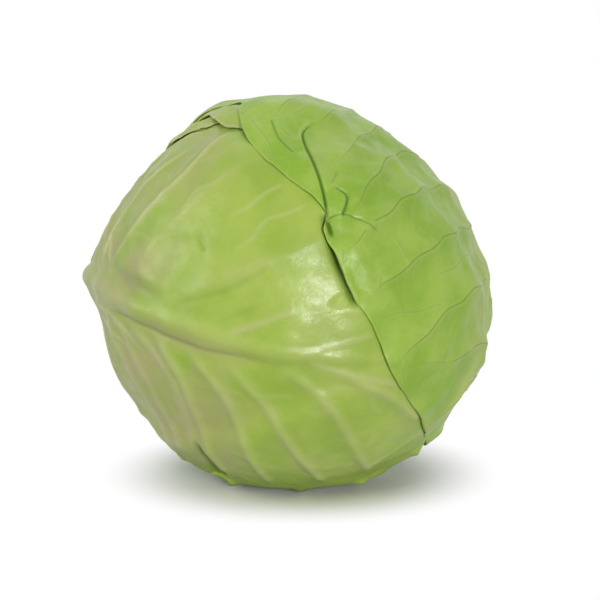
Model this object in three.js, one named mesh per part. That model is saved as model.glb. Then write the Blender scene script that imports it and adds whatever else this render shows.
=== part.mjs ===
// A white cabbage lying on its side, as trimmed for sale: the tight heart, five loose wrapper leaves
// laid over one another, and the cut stem that carries them.
//
// Millimetres and degrees, +Z up. The origin is on the floor under the middle of the cabbage.
// Azimuth 0 is -Y and grows toward +X; elevation is above the horizon. A direction is a unit vector
// from the centre of the head. Every leaf is a closed shell wrapped round the head on top of the
// leaves that lie under it, so its surface rises over their ribs and edges.

import * as THREE from "three";

// Driving dimensions.
const heartRadius = 76.8;
const centreHeight = 79.6;
const leafThickness = 0.9;
const leafGap = 1.1;
const ribHalfWidth = 10;
const stemRadius = 14;
const stemLength = 9;
const stemClearance = 2;

// How far past a covered edge, in degrees, the leaf above takes to settle back down.
const edgeEase = 18;

// Where the stem leaves the head, as azimuth and elevation.
const stemAzimuth = -108;
const stemElevation = 4;

// Fineness of the meshes.
const leafSpokes = 48;
const leafRings = 12;
const heartSegments = [32, 20];
const stemSegments = 24;

// Low swells and hollows of the heart. Reach is the angle over which one fades, height is in mm.
const swells = [
  { name: "belly toward the floor", azimuth: 30, elevation: -74, reach: 40, height: 3.6 },
  { name: "shoulder beside the tip", azimuth: 92, elevation: 0, reach: 24, height: 1.2 },
  { name: "hollow above the tip", azimuth: 108, elevation: 46, reach: 30, height: -6.5 },
  { name: "flat stem end", azimuth: -108, elevation: 4, reach: 34, height: -3.0 },
  { name: "collar above the stem", azimuth: -94, elevation: 20, reach: 19, height: 4.0 },
  { name: "collar below the stem", azimuth: -95, elevation: -18, reach: 20, height: 1.5 },
  { name: "root of the front rib", azimuth: -93, elevation: 4, reach: 12, height: 4.5 },
  { name: "dip behind the collar", azimuth: -102, elevation: 44, reach: 20, height: -3.0 },
  { name: "dip below the front", azimuth: -80, elevation: -39, reach: 18, height: -1.5 },
];

// The wrapper leaves from the innermost out. Each is laid out on a flat map of the head: its centre is
// a direction, the stem lies at bearing 0 and the edge is a list of [bearing, reach] in degrees.
const leaves = [
  {
    name: "lower_leaf",
    centre: [100, -62],
    ribHeight: 2.0,
    colour: 0x8fb25a,
    edge: [
      [0, 107], [11, 106], [22, 98], [34, 88], [45, 76], [60, 72], [80, 70], [110, 70], [130, 68], [150, 68],
      [180, 72], [-150, 72], [-130, 74], [-110, 74], [-90, 76], [-70, 78], [-50, 80], [-34, 88], [-20, 99],
      [-10, 106],
    ],
  },
  {
    name: "front_leaf",
    centre: [-12, -4],
    ribHeight: 2.2,
    colour: 0xb4c673,
    edge: [
      [0, 85], [10, 86], [18, 93], [27, 95], [38, 89], [52, 84], [70, 84], [85, 80], [100, 76], [120, 74], [140, 74],
      [160, 76], [180, 80], [-160, 83], [-140, 84], [-130, 81], [-115, 76], [-100, 71], [-85, 69], [-77, 65],
      [-72, 64], [-60, 68], [-45, 70], [-30, 74], [-20, 80], [-10, 85],
    ],
  },
  {
    name: "stem_side_leaf",
    centre: [-152, 38],
    ribHeight: 1.0,
    colour: 0xa9c46c,
    edge: [
      [0, 42], [15, 42], [30, 42], [45, 46], [60, 52], [80, 59], [100, 68], [120, 74], [145, 80], [170, 82],
      [-165, 80], [-140, 76], [-120, 70], [-100, 63], [-84, 59], [-66, 54], [-50, 49], [-35, 47], [-15, 43],
    ],
  },
  {
    name: "back_leaf",
    centre: [170, 8],
    ribHeight: 1.5,
    colour: 0xa0c265,
    edge: [
      [0, 71], [10, 71], [22, 68], [35, 64], [55, 66], [75, 72], [95, 76], [120, 78], [150, 80], [180, 82],
      [-150, 84], [-130, 88], [-110, 96], [-90, 104], [-78, 106], [-70, 101], [-62, 86], [-50, 80], [-35, 74],
      [-20, 71], [-10, 71],
    ],
  },
  {
    name: "crown_leaf",
    centre: [110, 45],
    ribHeight: 2.0,
    colour: 0x92bf58,
    edge: [
      [0, 109], [7, 108], [15, 100], [30, 86], [50, 78], [70, 76], [90, 78], [110, 84], [130, 90], [150, 96],
      [165, 96], [-170, 93], [-150, 90], [-130, 86], [-115, 80], [-105, 74], [-90, 72], [-70, 68], [-48, 62],
      [-36, 64], [-25, 75], [-15, 92], [-7, 108],
    ],
  },
];

const toDegrees = THREE.MathUtils.radToDeg;
const toRadians = THREE.MathUtils.degToRad;

function direction(azimuth, elevation) {
  const level = Math.cos(toRadians(elevation));
  return new THREE.Vector3(
    Math.sin(toRadians(azimuth)) * level,
    -Math.cos(toRadians(azimuth)) * level,
    Math.sin(toRadians(elevation)),
  );
}

function angleBetween(a, b) {
  return toDegrees(Math.acos(THREE.MathUtils.clamp(a.dot(b), -1, 1)));
}

const stemDirection = direction(stemAzimuth, stemElevation);

// ---- Leaf maps ----

// Gives a leaf its map axes: stemward points along bearing 0, sideways along bearing 90.
function addAxes(leaf) {
  leaf.middle = direction(...leaf.centre);
  leaf.stemward = stemDirection.clone().addScaledVector(leaf.middle, -stemDirection.dot(leaf.middle)).normalize();
  leaf.sideways = leaf.stemward.clone().cross(leaf.middle);
  leaf.edge = leaf.edge.map(([bearing, reach]) => [(bearing + 360) % 360, reach]).sort((a, b) => a[0] - b[0]);
}

// The direction at a bearing and reach on a leaf's map.
function onMap(leaf, bearing, reach) {
  const flat = Math.sin(toRadians(reach));
  return leaf.middle
    .clone()
    .multiplyScalar(Math.cos(toRadians(reach)))
    .addScaledVector(leaf.stemward, flat * Math.cos(toRadians(bearing)))
    .addScaledVector(leaf.sideways, flat * Math.sin(toRadians(bearing)));
}

// The reach of a leaf's edge at a bearing: a smooth closed curve through its points.
function edgeReach(leaf, bearing) {
  const points = leaf.edge;
  const count = points.length;
  const turned = ((bearing % 360) + 360) % 360;
  const point = (index) => {
    const laps = Math.floor(index / count);
    const [angle, reach] = points[index - laps * count];
    return [angle + 360 * laps, reach];
  };
  let index = -1;
  while (point(index + 1)[0] <= turned) {
    index += 1;
  }
  const [before, start, end, after] = [point(index - 1), point(index), point(index + 1), point(index + 2)];
  const span = end[0] - start[0];
  const t = (turned - start[0]) / span;
  const startSlope = ((end[1] - before[1]) / (end[0] - before[0])) * span;
  const endSlope = ((after[1] - start[1]) / (after[0] - start[0])) * span;
  const bend = end[1] - start[1];
  return (
    start[1] +
    startSlope * t +
    (3 * bend - 2 * startSlope - endSlope) * t ** 2 +
    (startSlope + endSlope - 2 * bend) * t ** 3
  );
}

// ---- Heights over the head ----

// How far a direction lies past a leaf's edge, in degrees. Where the edge runs aslant, the way
// straight across to it is shorter than the way along the bearing.
function pastEdge(leaf, d) {
  const reach = angleBetween(d, leaf.middle);
  const bearing = toDegrees(Math.atan2(d.dot(leaf.sideways), d.dot(leaf.stemward)));
  const slant = (edgeReach(leaf, bearing + 1) - edgeReach(leaf, bearing - 1)) / 2;
  const widthOfDegree = Math.max(Math.sin(toRadians(reach)), 0.2);
  return (reach - edgeReach(leaf, bearing)) / Math.hypot(1, slant / widthOfDegree);
}

// 1 where a leaf lies, easing to 0 past its edge.
function cover(leaf, d) {
  return 1 - THREE.MathUtils.smoothstep(pastEdge(leaf, d), 0, edgeEase);
}

// The midrib: a soft ridge from the stem along the middle of the leaf, lower toward the tip.
function midrib(leaf, d) {
  const aside = toRadians(90 - angleBetween(d, leaf.sideways)) * heartRadius;
  const taper = THREE.MathUtils.clamp(1 - angleBetween(d, stemDirection) / 150, 0.1, 1);
  const facing = d.dot(leaf.middle) > -0.5 ? 1 : 0;
  return facing * leaf.ribHeight * taper * Math.exp(-((aside / ribHalfWidth) ** 2));
}

// Height above the heart of everything up to and including the first few leaves.
function stackHeight(d, count) {
  return leaves
    .slice(0, count)
    .reduce((height, leaf) => height + cover(leaf, d) * (leafGap + leafThickness + midrib(leaf, d)), 0);
}

// The heart swells and dips a little, and is pressed in under the head so that the outermost
// surface there is a flat spot on the floor.
function heartHeight(d) {
  const free = swells.reduce((height, swell) => {
    const away = angleBetween(d, direction(swell.azimuth, swell.elevation)) / swell.reach;
    return height + swell.height * Math.exp(-(away ** 2));
  }, heartRadius);
  if (d.z > -0.5) {
    return free;
  }
  return Math.min(free, centreHeight / -d.z - stackHeight(d, leaves.length));
}

// ---- Pieces ----

// Moves every vertex of a geometry to the place that a rule gives for it.
function reshape(geometry, place) {
  const positions = geometry.attributes.position;
  const vertex = new THREE.Vector3();
  for (let index = 0; index < positions.count; index += 1) {
    vertex.fromBufferAttribute(positions, index);
    const moved = place(vertex);
    positions.setXYZ(index, moved.x, moved.y, moved.z);
  }
  geometry.computeVertexNormals();
  return geometry;
}

function addPiece(name, geometry, colour, roughness) {
  const material = new THREE.MeshStandardMaterial({ color: colour, roughness, metalness: 0 });
  const mesh = new THREE.Mesh(geometry, material);
  mesh.name = name;
  head.add(mesh);
}

function heartGeometry() {
  const ball = new THREE.SphereGeometry(1, ...heartSegments);
  return reshape(ball, (vertex) => {
    const d = vertex.clone().normalize();
    return d.multiplyScalar(heartHeight(d));
  });
}

// Bearings that part a leaf's edge into stretches of equal length, from the stem round to the stem.
function evenBearings(leaf) {
  const onEdge = (bearing) => onMap(leaf, bearing, edgeReach(leaf, bearing));
  const walked = [0];
  for (let bearing = 1; bearing <= 360; bearing += 1) {
    walked.push(walked[bearing - 1] + angleBetween(onEdge(bearing - 1), onEdge(bearing)));
  }
  return Array.from({ length: leafSpokes + 1 }, (unused, spoke) => {
    const goal = (walked[360] * spoke) / leafSpokes;
    const next = Math.max(walked.findIndex((length) => length >= goal - 1e-9), 1);
    return next - (walked[next] - goal) / (walked[next] - walked[next - 1]);
  });
}

// A leaf starts as a flat round wafer, turned on a lathe. Its radius becomes the reach from the
// middle of the leaf to the edge, and its two faces become the leaf's inner and outer surface.
function leafGeometry(leaf, layer) {
  const bearings = evenBearings(leaf);
  const ringRadii = Array.from({ length: leafRings + 1 }, (unused, ring) => ring / leafRings);
  const over = ringRadii.map((radius) => new THREE.Vector2(radius, 0.5));
  const under = ringRadii.map((radius) => new THREE.Vector2(radius, -0.5)).reverse();
  const wafer = new THREE.LatheGeometry([...over, ...under], leafSpokes);
  return reshape(wafer, (vertex) => {
    const share = Math.min(Math.hypot(vertex.x, vertex.z), 1);
    const turn = Math.atan2(vertex.x, vertex.z) / (2 * Math.PI);
    const spoke = Math.round((turn < 0 ? turn + 1 : turn) * leafSpokes) % leafSpokes;
    const bearing = bearings[spoke];
    const d = onMap(leaf, bearing, share * edgeReach(leaf, bearing));
    const rise = vertex.y > 0 ? stackHeight(d, layer + 1) : stackHeight(d, layer) + leafGap;
    return d.multiplyScalar(heartHeight(d) + rise);
  });
}

// The cut stem is a short plug, a little wider where it meets the heart, with a soft rim.
function stemGeometry() {
  const foot = heartHeight(stemDirection) + stemClearance;
  const profile = [
    new THREE.Vector2(0, foot),
    new THREE.Vector2(stemRadius, foot),
    new THREE.Vector2(stemRadius - 0.6, foot + stemLength - 1.5),
    new THREE.Vector2(stemRadius - 2.2, foot + stemLength),
    new THREE.Vector2(0, foot + stemLength),
  ];
  const plug = new THREE.LatheGeometry(profile, stemSegments);
  const turn = new THREE.Quaternion().setFromUnitVectors(new THREE.Vector3(0, 1, 0), stemDirection);
  return plug.applyQuaternion(turn);
}

const head = new THREE.Group();
leaves.forEach(addAxes);
addPiece("heart", heartGeometry(), 0xc3cf8f, 0.55);
leaves.forEach((leaf, layer) => addPiece(leaf.name, leafGeometry(leaf, layer), leaf.colour, 0.42));
addPiece("stem", stemGeometry(), 0xd9d3a4, 0.7);

// Sets the cabbage on the floor with the origin under the middle of it.
const bounds = new THREE.Box3().setFromObject(head);
const middle = bounds.getCenter(new THREE.Vector3());
head.position.set(-middle.x, -middle.y, -bounds.min.z);

export default head;
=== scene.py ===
import math

import bmesh
import bpy
import numpy as np
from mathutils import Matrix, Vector


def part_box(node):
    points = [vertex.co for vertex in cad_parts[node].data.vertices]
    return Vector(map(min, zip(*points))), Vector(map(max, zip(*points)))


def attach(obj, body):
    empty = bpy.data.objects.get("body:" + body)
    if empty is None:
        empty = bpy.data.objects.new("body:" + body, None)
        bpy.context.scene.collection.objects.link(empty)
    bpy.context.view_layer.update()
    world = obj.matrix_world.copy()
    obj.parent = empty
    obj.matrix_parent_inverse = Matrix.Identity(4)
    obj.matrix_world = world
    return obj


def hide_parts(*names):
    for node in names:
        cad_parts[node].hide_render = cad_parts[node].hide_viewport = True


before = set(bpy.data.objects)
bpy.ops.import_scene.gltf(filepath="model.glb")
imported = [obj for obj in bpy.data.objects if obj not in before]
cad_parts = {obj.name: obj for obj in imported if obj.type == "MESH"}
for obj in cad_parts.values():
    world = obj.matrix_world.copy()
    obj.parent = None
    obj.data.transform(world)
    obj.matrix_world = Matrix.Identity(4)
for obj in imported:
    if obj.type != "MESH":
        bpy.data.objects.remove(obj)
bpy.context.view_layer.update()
scene = bpy.context.scene
print("frame loaded")

# A white cabbage on its side. Sizes are in millimetres and angles in degrees until a mesh is placed.
# A direction is a unit vector from the centre of the head; azimuth 0 is -Y and grows toward +X.
# Every wrapper leaf is drawn on a map of its own: x sideways and y toward the stem, in degrees of arc
# from the middle of the leaf. An edge is a loop of (bearing, reach), with the stem at bearing 0.

head = {
    "heartRadius": 76.8,
    "meanRadius": 82,  # of the finished head, for turning arc into length
    "centreHeight": 79.6,
    "leafThickness": 0.9,
    "leafGap": 1.1,
    "edgeEase": 9,  # how far past a covered edge the leaf above takes to settle
    "hugWidth": 10,  # width of the rim that lies close on the leaf below, in mm
    "hugGap": 0.15,  # what is left of the gap there
    "liftWidth": 17,  # how far in from the edge a lift fades out
    "curlWidth": 7,
    "rimWidth": 0.8,  # rounded part of the rim
    "fineness": 288,  # squares across a leaf's grid
    "quickFineness": 120,
    "footShade": (0.89, 0.93),  # painted shade: the skin darkens between these steepnesses, where 1 is straight down, as if shaded near the floor
    "footFlat": (0.88, 0.98),  # and its relief gets lower between these
    "shownDepth": (8, 14),  # relief fades out between these depths under another leaf, in mm
    "stem": (-108, 4),
    "swells": [  # azimuth, elevation, reach, height
        (30, -74, 40, 3.6), (92, 0, 24, 1.2), (108, 46, 30, -6.5), (-108, 4, 34, -3.0),
        (-94, 20, 19, 4.0), (-95, -18, 20, 1.5), (-93, 4, 12, 4.5), (-102, 44, 20, -3.0),
        (-80, -39, 18, -1.5),
    ],
    "trims": [  # small differences between the grown leaves and their plain cores
        (0, -66, 20, -2.0), (-83, -28, 14, 2.4), (-110, 58, 18, 2.5), (-104, 48, 10, -1.0),
        (90, -1, 9, -1.4), (88, -10, 7, 3.2), (86, -20, 7, -2.6), (84, -29, 12, -1.0),
        (92, 10, 8, -3.2), (-91, 2, 5, 1.6), (-94, 20, 9, 1.0), (-80, -39, 7, -2.2),
        (110, 58, 14, -2.8), (97, 29, 10, 1.8), (-70, -57, 11, 2.1), (72, -54, 15, 2.2),
    ],
}


def aim(azimuth, elevation):
    a, e = math.radians(azimuth), math.radians(elevation)
    return np.array([math.sin(a) * math.cos(e), -math.cos(a) * math.cos(e), math.sin(e)])


def smoothStep(value, low, high):
    t = np.clip((value - low) / (high - low), 0, 1)
    return t * t * (3 - 2 * t)


def angleFrom(d, axis):
    return np.degrees(np.arccos(np.clip(d @ axis, -1, 1)))


stemAim = aim(*head["stem"])


def addAxes(leaf, centre, toward):
    leaf["centre"] = centre
    flat = toward - centre * (centre @ toward)
    leaf["stemward"] = flat / np.linalg.norm(flat)
    leaf["sideways"] = np.cross(leaf["stemward"], centre)


def addEdge(leaf):
    loop = sorted((bearing % 360, reach) for bearing, reach in leaf["edge"])
    loop = loop[-2:] + loop + loop[:2]
    bearings = np.array([bearing for bearing, reach in loop], float)
    bearings[:2] -= 360
    bearings[-2:] += 360
    leaf["edgeBearings"] = bearings
    leaf["edgeReaches"] = np.array([reach for bearing, reach in loop], float)


# Direction of a point on the leaf's map
def onMap(leaf, x, y):
    reach = np.radians(np.hypot(x, y))
    bearing = np.arctan2(x, y)
    flat = (np.sin(reach) * np.cos(bearing))[..., None] * leaf["stemward"]
    side = (np.sin(reach) * np.sin(bearing))[..., None] * leaf["sideways"]
    return np.cos(reach)[..., None] * leaf["centre"] + flat + side


def bearingAndReach(leaf, d):
    return np.degrees(np.arctan2(d @ leaf["sideways"], d @ leaf["stemward"])), angleFrom(d, leaf["centre"])


# Reach of the edge: a smooth closed curve through its points
def edgeReach(leaf, bearing):
    x, y = leaf["edgeBearings"], leaf["edgeReaches"]
    turned = np.mod(bearing, 360)
    i = np.clip(np.searchsorted(x, turned, side="right") - 1, 1, len(x) - 3)
    span = x[i + 1] - x[i]
    t = (turned - x[i]) / span
    startSlope = (y[i + 1] - y[i - 1]) / (x[i + 1] - x[i - 1]) * span
    endSlope = (y[i + 2] - y[i]) / (x[i + 2] - x[i]) * span
    bend = y[i + 1] - y[i]
    square, cube = 3 * bend - 2 * startSlope - endSlope, startSlope + endSlope - 2 * bend
    return y[i] + startSlope * t + square * t**2 + cube * t**3


# How far a direction lies past the leaf's edge, straight across it
def pastEdge(leaf, d):
    bearing, reach = bearingAndReach(leaf, d)
    slant = (edgeReach(leaf, bearing + 1) - edgeReach(leaf, bearing - 1)) / 2
    degreeWidth = np.maximum(np.sin(np.radians(reach)), 0.2)
    return (reach - edgeReach(leaf, bearing)) / np.hypot(1, slant / degreeWidth)


mmPerDegree = math.radians(1) * head["meanRadius"]


# Points on a smooth open curve through the given points
def smoothLine(points, steps=7):
    p = np.array([points[0], *points, points[-1]], float)
    t = np.linspace(0, 1, steps, endpoint=False)[:, None]
    spans = []
    for a, b, c, e in zip(p, p[1:], p[2:], p[3:]):
        square, cube = 2 * a - 5 * b + 4 * c - e, 3 * b - a - 3 * c + e
        spans.append(0.5 * (2 * b + (c - a) * t + square * t**2 + cube * t**3))
    return np.vstack([*spans, p[-1:]])


# A line through a few points, bent to and fro by seeded kinks between them
def kinkedLine(points, seed, kink, spacing):
    dice = np.random.default_rng(seed)
    flat = smoothLine(points, 12)
    along = np.concatenate([[0], np.cumsum(np.linalg.norm(np.diff(flat, axis=0), axis=1))])
    count = max(int(along[-1] / spacing), 2)
    run = flat[-1] - flat[0]
    aside = np.array([-run[1], run[0]]) / np.linalg.norm(run)
    line = []
    for number in range(count + 1):
        here = np.array([np.interp(along[-1] * number / count, along, axis) for axis in flat.T])
        bend = kink * dice.uniform(0.4, 1.0) * (-1) ** number * (0 < number < count)
        line.append(tuple(here + aside * bend))
    return line


def kinkedLines(lines, seed, kink=0.8, spacing=7):
    return [kinkedLine(points, seed + number, kink, spacing) for number, points in enumerate(lines)]


# Index of the directions near a line, with their distance, side and share of the way along
def measureLine(d, line, width):
    middle = line.mean(0)
    radius = np.linalg.norm(line - middle, axis=1).max() + width / head["meanRadius"]
    index = np.nonzero(((d - middle) ** 2).sum(1) < radius**2)[0]
    p = d[index]
    best = np.full(len(index), 1e9)
    side = np.zeros(len(index))
    along = np.zeros(len(index))
    steps = len(line) - 1
    for number, (a, b) in enumerate(zip(line, line[1:])):
        run = b - a
        t = np.clip((p - a) @ run / (run @ run), 0, 1)
        gap = p - a - t[:, None] * run
        distance = np.einsum("ij,ij->i", gap, gap)
        closer = distance < best
        best[closer] = distance[closer]
        along[closer] = (number + t[closer]) / steps
        side[closer] = np.sign(gap[closer] @ np.cross(run, a))
    distance = np.sqrt(best) * head["meanRadius"]
    near = distance < width
    return index[near], distance[near], side[near], along[near]


def between(pair, along):
    return pair[0] + (pair[1] - pair[0]) * along


# Adds one line's height, colours and vein offset to the leaf's fields
def addRidge(field, d, leaf, ridge):
    height, width, tent = ridge["height"], ridge["width"], ridge.get("tent", (0, 0))
    tentWidth = ridge.get("tentWidth", 8)
    step, stepReach, stepSide = ridge.get("step", (0, 1, 1))
    far = max(3.2 * max(width), 2.5 * tentWidth * (max(np.abs(tent)) > 0), 4 * stepReach * (step != 0), 6)
    dusk, duskReach, duskSide = ridge.get("dusk", (0, 1, 1))  # painted shade: a darker blade along one side of the line
    # dark is painted shade along the line itself, as in a groove, gap or slit
    dark, darkWidth = ridge.get("dark", (0, 1))
    tan, tanWidth = ridge.get("tan", (0, 7))
    far = max(far, 2.2 * duskReach * (dusk > 0), 2.2 * tanWidth * (tan > 0))
    line = onMap(leaf, *smoothLine(ridge["line"]).T)
    index, distance, side, along = measureLine(d, line, far)
    if not len(index):
        return
    ease = smoothStep(along, 0, ridge.get("fadeIn", 0.1))
    ease *= 1 - smoothStep(along, ridge.get("fadeOut", 0.85), 1)
    bump = between(height, along) * np.exp(-((distance / between(width, along)) ** ridge.get("power", 2)))
    roof = between(tent, along) * np.exp(-(np.sqrt(distance**2 + 2.2) - 1.48) / tentWidth * 1.6)
    lift = step * np.exp(-distance / stepReach) * smoothStep(distance * side * stepSide, -0.5, 0.9)
    field["height"][index] += (bump + roof + lift) * ease
    pale = ridge.get("pale", 0.6) * np.exp(-((distance / (1.2 * between(width, along))) ** 2)) * ease
    field["pale"][index] = np.maximum(field["pale"][index], pale)
    dark = dark * np.exp(-((distance / darkWidth) ** 2)) * ease
    shade = dusk * np.exp(-((distance / duskReach) ** 1.5)) * ease
    shade *= smoothStep(distance * side * duskSide, -0.6, 2.5)
    field["dark"][index] = np.maximum(field["dark"][index], np.maximum(dark, shade))
    tan = tan * np.exp(-((distance / tanWidth) ** 1.5)) * ease
    field["tan"][index] = np.maximum(field["tan"][index], tan)
    closer = distance < field["veinNear"][index] + ridge.get("priority", 0)
    drawn = index[closer]
    field["veinNear"][drawn] = distance[closer]
    field["veinOffset"][drawn] = (distance * side)[closer]
    field["vein"][drawn] = (ridge.get("vein", 0.5) * ease)[closer]
    field["lineWidth"][drawn] = ridge.get("lineWidth", 0.34)


# Adds one round or oval bump or dimple
def addSpot(field, d, leaf, spot):
    x, y = spot["at"]
    middle = onMap(leaf, np.array([x]), np.array([y]))[0]
    index = np.nonzero(angleFrom(d, middle) * mmPerDegree < 4 * max(spot["size"]))[0]
    bearing, reach = bearingAndReach(leaf, d[index])
    turn = math.radians(spot.get("turn", 0))
    dx = (reach * np.sin(np.radians(bearing)) - x) * mmPerDegree
    dy = (reach * np.cos(np.radians(bearing)) - y) * mmPerDegree
    u = (dx * math.cos(turn) + dy * math.sin(turn)) / spot["size"][0]
    v = (dy * math.cos(turn) - dx * math.sin(turn)) / spot["size"][1]
    shape = np.exp(-((u * u + v * v) ** spot.get("power", 1)))
    field["height"][index] += spot.get("height", 0) * shape
    field["dark"][index] = np.maximum(field["dark"][index], spot.get("dark", 0) * shape)
    field["tan"][index] = np.maximum(field["tan"][index], spot.get("tan", 0) * shape)
    field["pale"][index] = np.clip(field["pale"][index] + spot.get("pale", 0) * shape, 0, 1)
    field["shine"][index] += spot.get("shine", 0) * shape


# Gentle unevenness of the blade, from a few seeded waves
def waves(leaf, d):
    total = np.zeros(len(d))
    dice = np.random.default_rng(leaf["seed"])
    for length, height in leaf.get("waves", [(34, 0.45), (17, 0.22), (8, 0.08)]):
        cycles = head["meanRadius"] * 2 * math.pi / length
        for turn in range(5):
            push = dice.normal(size=3)
            push /= np.linalg.norm(push)
            total += height * np.sin(d @ push * cycles + dice.uniform(0, 6.28)) / 2.2
    return total


# Height, paleness and vein fields of one leaf at some directions, before anything hides them
def measureRelief(leaf, d):
    count = len(d)
    kinds = ("height", "pale", "tan", "dark", "veinOffset", "vein", "lineWidth", "shine")
    field = {kind: np.zeros(count) for kind in kinds}
    field["veinNear"] = np.full(count, 20.0)  # out of reach of any line
    for ridge in leaf["ridges"]:
        addRidge(field, d, leaf, ridge)
    for spot in leaf.get("spots", []):
        addSpot(field, d, leaf, spot)
    field["height"] += waves(leaf, d)
    return field


# One ridge for each line, all of one kind
def ribRidges(lines, height, width, tent=(0.5, 0.2), tentWidth=6, pale=0.75, vein=0.5, **extra):
    kind = {"height": height, "width": width, "tent": tent, "tentWidth": tentWidth, "pale": pale}
    return [{"line": line, **kind, "vein": vein, **extra} for line in lines]


# A groove or a change of level: a line with no pale crest and no vein unless they are given
def crease(line, height, width, **extra):
    return {"line": line, "height": height, "width": width, "pale": 0, "vein": 0, **extra}


# A round or oval spot of the leaf
def mark(at, size, **extra):
    return {"at": at, "size": size, **extra}


# Side ribs that leave the midrib in turn, left and right, and bend toward the tip
def featherRibs(leaf, pairs, sides, spread):
    dice = np.random.default_rng(leaf["seed"])
    stemEnd, tipEnd = leaf["ribSpan"][0] - 12, leaf["ribSpan"][1] + 12
    lines = []
    for number in range(pairs):
        for side in sides:
            place = (number + 0.25 + 0.25 * side + dice.uniform(-0.1, 0.1)) / pairs
            start = stemEnd + (tipEnd - stemEnd) * place
            fullness = 0.72 + 0.4 * math.sin(math.pi * (number + 0.6) / pairs)
            length = spread * fullness * dice.uniform(0.9, 1.05)
            x = leaf["midribX"](start)
            points = [(x, start)]
            slope = 0.62 + dice.uniform(-0.12, 0.12)
            for step in range(1, 6):
                share = step / 5
                out = length * share
                drop = length * slope * (share - 0.35 * share**2)
                points.append((x + side * out, start - drop + dice.uniform(-1.6, 1.6)))
            lines.append(points)
    return lines


# Thin veins that branch off the given lines
def twigs(lines, seed, every=3, length=13):
    dice = np.random.default_rng(seed)
    made = []
    for line in lines:
        flat = smoothLine(line, 4)
        for number in range(3, len(flat) - 2, every):
            here = flat[number]
            run = flat[number + 1] - flat[number - 1]
            run /= max(np.linalg.norm(run), 1e-6)
            turn = math.radians(dice.uniform(38, 62)) * dice.choice([-1, 1])
            way = np.array([run[0] * math.cos(turn) - run[1] * math.sin(turn),
                            run[0] * math.sin(turn) + run[1] * math.cos(turn)])
            long = length * dice.uniform(0.6, 1.2)
            bend = np.array([-way[1], way[0]]) * dice.uniform(-0.18, 0.18) * long
            made.append([tuple(here), tuple(here + way * long * 0.5 + bend), tuple(here + way * long)])
    return made


# Ribs and twigs grown from the leaf's seed, with a midrib when both sides are grown
def hiddenLeaf(leaf, pairs=7, ribs=(-1, 1), ribLength=64):
    stemEnd, tipEnd = leaf["ribSpan"]
    curve = leaf.get("ribCurve", 0)
    leaf["midribX"] = lambda y: curve * math.sin((y - stemEnd) / (tipEnd - stemEnd) * math.pi)
    ridges = []
    if len(ribs) == 2:
        line = [(leaf["midribX"](y), y) for y in np.linspace(stemEnd, tipEnd, 9)]
        ridges += ribRidges([line], (4.2, 0.4), (5.5, 1.8), (1.6, 0.6), 14, 1.0, 0.2, fadeIn=0.001)
    lines = featherRibs(leaf, pairs, ribs, ribLength)
    ridges += ribRidges(lines, (1.1, 0.3), (2.4, 1.1), tent=(0.8, 0.3), tentWidth=7)
    ridges += ribRidges(twigs(lines, leaf["seed"] + 7), (0.25, 0.08), (1.0, 0.8), tent=(0.2, 0), tentWidth=4,
                        pale=0.35, vein=0.4)
    return ridges


lowerLeaf = {
    "name": "lower_leaf",
    "middle": (100, -62),
    "seed": 11,
    "ribHeight": 2.0,
    "ribSpan": (107, -60),
    "ribCurve": 7,
    "edge": [
        (0, 107), (11, 106), (22, 98), (34, 88), (45, 76), (60, 72), (80, 70), (110, 70), (130, 68),
        (150, 68), (180, 72), (-150, 72), (-130, 74), (-110, 74), (-90, 76), (-70, 78), (-50, 80),
        (-34, 88), (-20, 99), (-10, 106),
    ],
    "scallop": 0.5,
}
lowerLeaf["ridges"] = hiddenLeaf(lowerLeaf)

frontLeaf = {
    "name": "front_leaf",
    "middle": (-12, -4),
    "seed": 4,
    "ribHeight": 2.2,
    "edge": [
        (0, 85), (10, 86), (18, 93), (27, 95), (38, 89), (52, 84), (70, 84), (85, 80), (100, 76), (120, 74),
        (140, 74), (160, 76), (180, 80), (-160, 83), (-140, 84), (-130, 81), (-115, 76), (-100, 71),
        (-86, 71), (-79, 70), (-75, 66), (-70, 69), (-58, 66), (-45, 62), (-32, 64), (-20, 77), (-10, 85),
    ],
    "scallop": 0.22,
}
frontRib = [(1, 90), (4, 75), (5, 50), (4, 20), (1, 0), (-2, -30), (-4, -60)]
frontCord = [(1, 90), (5, 70), (5, 50), (4, 26)]
frontCrease = [(0, 60), (1, 40), (-1, 15), (-4, -22)]
frontFan = [  # close ribs that spread from the root below the midrib
    [(1, 68), (-14, 58), (-43, 43)],
    [(1, 60), (-20, 40), (-48, 25)],
    [(0, 50), (-16, 34), (-44, 21)],
    [(0, 42), (-14, 22), (-40, 17)],
]
frontShoulder = [  # and above it
    [(12, 68), (35, 66), (56, 54), (70, 32)],
    [(12, 62), (32, 58), (62, 32)],
    [(12, 57), (30, 44), (48, 30), (68, 20)],
    [(54, 62), (64, 50), (71, 34)],
]
frontFibres = [  # fine fibres round the root
    [(26, 68), (12, 61)],
    [(25, 62), (10, 54)],
    [(-4, 68), (-2, 50), (-10, 30)],
    [(-6, 62), (-10, 36)],
]
frontRibs = [  # broad side ribs
    [(-2, 30), (-15, 18), (-56, 8)],
    [(-2, 18), (-18, 4), (-56, -6)],
    [(-4, 6), (-20, -8), (-56, -24)],
    [(-4, -10), (-18, -25), (-52, -38)],
    [(-4, -22), (-14, -40), (-30, -54)],
]
frontUpperRibs = [
    [(5, 32), (18, 8), (34, -24)],
    [(11, 44), (34, 26), (56, 6)],
]
frontVeins = [  # thin side veins
    [(-2, -16), (-12, -46)],
    [(-46, -35), (-38, -56)],
    [(3, 6), (12, -14)],
    [(0, -16), (5, -36)],
]
frontBright = kinkedLines([  # thin bright veins of the upper side
    [(26, 6), (36, -4), (42, -14)],
    [(35, 10), (48, -6)],
    [(34, 30), (50, 12)],
    [(44, 36), (64, 24)],
], 40, 1.0, 6)
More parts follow.
